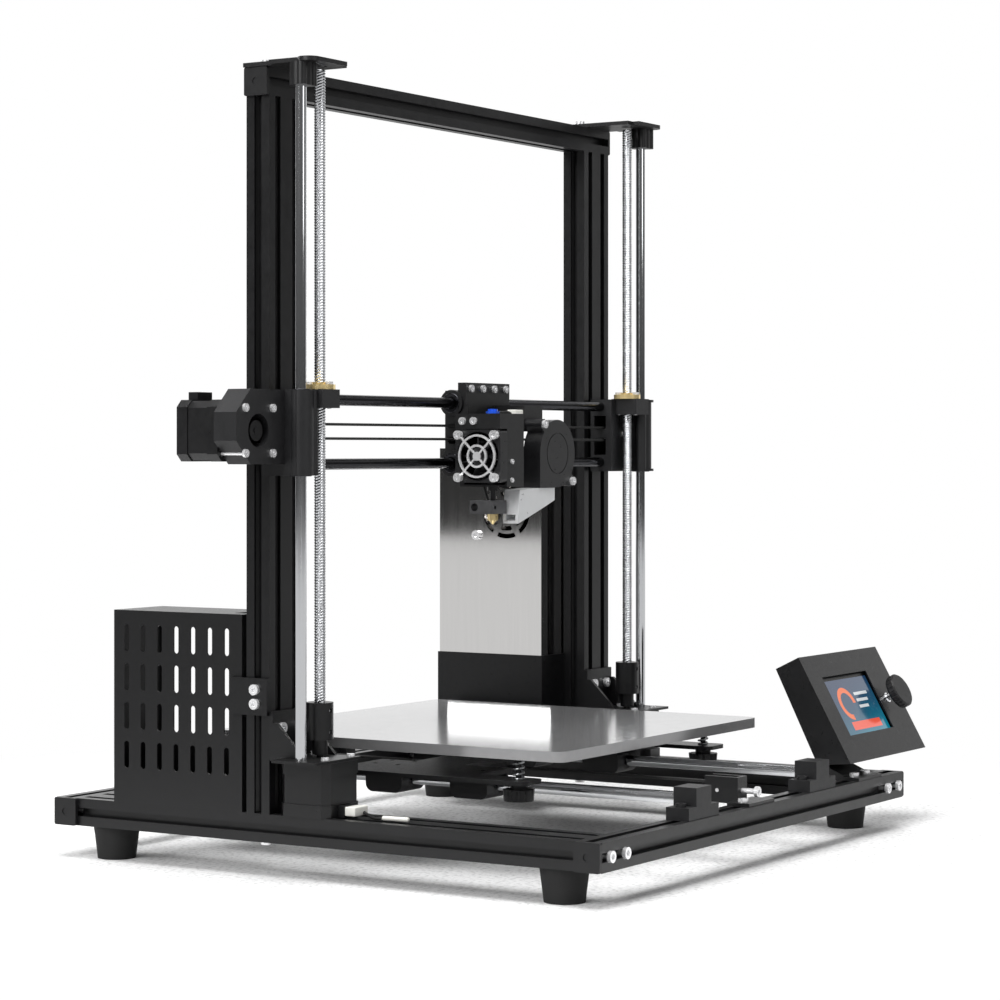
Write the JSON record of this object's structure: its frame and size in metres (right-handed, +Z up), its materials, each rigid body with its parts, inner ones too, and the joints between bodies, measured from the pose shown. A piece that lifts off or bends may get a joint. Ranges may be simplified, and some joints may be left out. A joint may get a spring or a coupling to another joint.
{
  "type": "fdm printer",
  "caption": "Desktop FDM 3D printer with a black slotted aluminium frame, moving square bed, twin lead screws, cross gantry with fan-cooled hot end and a tilted colour screen.",
  "frame": {"origin": "centre of the bounding box on the table plane", "axes": "+Z up, +X to the printer's right seen from its front, +Y from the front to the back"},
  "size_m": [0.603, 0.4674, 0.5727],
  "materials": {
    "black_anodised": "satin",
    "black_plastic": "matte",
    "black_sheet": "powder coated",
    "rubber": "matte",
    "bright_steel": "polished",
    "dark_steel": "polished",
    "motor_black": "satin",
    "aluminium_bright": "satin",
    "brass": "satin",
    "belt_rubber": "matte",
    "clear_plastic": "gloss",
    "blue_plastic": "gloss",
    "red_plastic": "gloss",
    "screen_glass": "gloss"
  },
  "bodies": {
    "frame": {"cross_members": "black_anodised", "side_members": "black_anodised", "uprights": "black_anodised", "frame_end_caps": "black_plastic", "rubber_feet": "rubber", "frame_bolts": "bright_steel", "z_top_plates": "black_plastic", "z_motor_brackets": "black_sheet", "stepper_motors": "motor_black", "z_smooth_rods": "bright_steel", "y_rods": "bright_steel", "y_rod_holders": "black_plastic", "y_belt_brackets": "black_sheet", "electronics_case": "black_sheet", "electronics_lid": "black_sheet", "psu_case": "aluminium_bright", "psu_cover": "black_plastic", "power_inlet": "black_plastic", "screen_case": "black_plastic", "screen_display": "screen_glass", "screen_bracket": "black_sheet", "y_belt": "belt_rubber"},
    "gantry": {"x_end_left": "black_plastic", "x_end_right": "black_plastic", "x_rods": "dark_steel", "z_nuts": "brass", "x_motor": "motor_black", "x_belt": "belt_rubber", "gantry_bolts": "bright_steel"},
    "carriage": {"x_carriage": "black_plastic", "heatsink": "black_anodised", "heater_block": "aluminium_bright", "nozzle": "brass", "bowden_fitting": "blue_plastic", "hotend_fan": "black_plastic", "fan_guard": "bright_steel", "blower_case": "black_plastic", "air_duct": "clear_plastic", "carriage_bolts": "bright_steel"},
    "hotend_fan_wheel": {"hotend_fan_rotor": "black_plastic"},
    "blower_wheel": {"blower_rotor": "black_plastic"},
    "x_drive": {"x_pulley": "black_anodised"},
    "x_return": {"x_idler": "bright_steel"},
    "left_screw": {"lead_screw_left": "bright_steel", "z_coupler_left": "black_anodised"},
    "right_screw": {"lead_screw_right": "bright_steel", "z_coupler_right": "black_anodised"},
    "bed": {"y_carriage_plate": "black_sheet", "y_bearing_blocks": "black_plastic", "build_plate": "aluminium_bright", "level_springs": "bright_steel"},
    "knob_front_left": {"level_knob_fl": "black_plastic"},
    "knob_front_right": {"level_knob_fr": "black_plastic"},
    "knob_rear_left": {"level_knob_rl": "black_plastic"},
    "knob_rear_right": {"level_knob_rr": "black_plastic"},
    "y_drive": {"y_pulley": "aluminium_bright"},
    "y_return": {"y_idler": "bright_steel"},
    "dial_stem": {"encoder_shaft": "bright_steel"},
    "dial": {"encoder_knob": "black_plastic"},
    "rocker": {"power_switch": "red_plastic"}
  },
  "joints": [
    {"name": "z_lift", "type": "slide", "parent": "frame", "child": "gantry", "axis": [0, 0, 1], "range_m": [-0.152, 0.195]},
    {"name": "x_travel", "type": "slide", "parent": "gantry", "child": "carriage", "axis": [1, 0, 0], "range_m": [-0.162, 0.155]},
    {"name": "y_travel", "type": "slide", "parent": "frame", "child": "bed", "axis": [0, 1, 0], "range_m": [-0.145, 0.138]},
    {"name": "left_screw_turn", "type": "hinge", "parent": "frame", "child": "left_screw", "pos_m": [-0.2149, 0.0077, 0.1], "axis": [0, 0, 1], "continuous": true},
    {"name": "right_screw_turn", "type": "hinge", "parent": "frame", "child": "right_screw", "pos_m": [0.2219, 0.0077, 0.1], "axis": [0, 0, 1], "continuous": true},
    {"name": "x_pulley_turn", "type": "hinge", "parent": "gantry", "child": "x_drive", "pos_m": [-0.2765, 0.026, 0.312], "axis": [0, 1, 0], "continuous": true},
    {"name": "x_idler_turn", "type": "hinge", "parent": "gantry", "child": "x_return", "pos_m": [0.2285, 0.026, 0.312], "axis": [0, 1, 0], "continuous": true},
    {"name": "y_pulley_turn", "type": "hinge", "parent": "frame", "child": "y_drive", "pos_m": [-0.0025, 0.1895, 0.053], "axis": [1, 0, 0], "continuous": true},
    {"name": "y_idler_turn", "type": "hinge", "parent": "frame", "child": "y_return", "pos_m": [-0.0025, -0.197, 0.053], "axis": [1, 0, 0], "continuous": true},
    {"name": "hotend_fan_spin", "type": "hinge", "parent": "carriage", "child": "hotend_fan_wheel", "pos_m": [-0.0295, -0.0083, 0.294], "axis": [1, 0, 0], "continuous": true},
    {"name": "blower_spin", "type": "hinge", "parent": "carriage", "child": "blower_wheel", "pos_m": [0.0495, -0.021, 0.296], "axis": [0, 1, 0], "continuous": true},
    {"name": "dial_press", "type": "slide", "parent": "frame", "child": "dial_stem", "axis": [0, 0.8738, -0.4863], "range_m": [0, 0.0005], "stiffness_N_per_m": 2000, "springref_m": -0.0005},
    {"name": "dial_turn", "type": "hinge", "parent": "dial_stem", "child": "dial", "pos_m": [0.2775, -0.20214, 0.09857], "axis": [0, -0.8738, 0.4863], "continuous": true},
    {"name": "power_rocker", "type": "hinge", "parent": "frame", "child": "rocker", "pos_m": [0.1925, 0.1572, 0.097], "axis": [0, 0, 1], "range_deg": [-14, 0]},
    {"name": "level_fl", "type": "hinge", "parent": "bed", "child": "knob_front_left", "pos_m": [-0.1345, -0.106, 0.058], "axis": [0, 0, 1], "range_deg": [-540, 540]},
    {"name": "level_fr", "type": "hinge", "parent": "bed", "child": "knob_front_right", "pos_m": [0.1415, -0.106, 0.058], "axis": [0, 0, 1], "range_deg": [-540, 540]},
    {"name": "level_rl", "type": "hinge", "parent": "bed", "child": "knob_rear_left", "pos_m": [-0.1345, 0.109, 0.058], "axis": [0, 0, 1], "range_deg": [-540, 540]},
    {"name": "level_rr", "type": "hinge", "parent": "bed", "child": "knob_rear_right", "pos_m": [0.1415, 0.109, 0.058], "axis": [0, 0, 1], "range_deg": [-540, 540]}
  ],
  "couplings": [
    {"joint": "left_screw_turn", "follows": "z_lift", "rad_per_m": -785.4},
    {"joint": "right_screw_turn", "follows": "z_lift", "rad_per_m": -785.4},
    {"joint": "x_pulley_turn", "follows": "x_travel", "rad_per_m": 196.46},
    {"joint": "x_idler_turn", "follows": "x_travel", "rad_per_m": 196.46},
    {"joint": "y_pulley_turn", "follows": "y_travel", "rad_per_m": -196.46},
    {"joint": "y_idler_turn", "follows": "y_travel", "rad_per_m": -196.46}
  ]
}
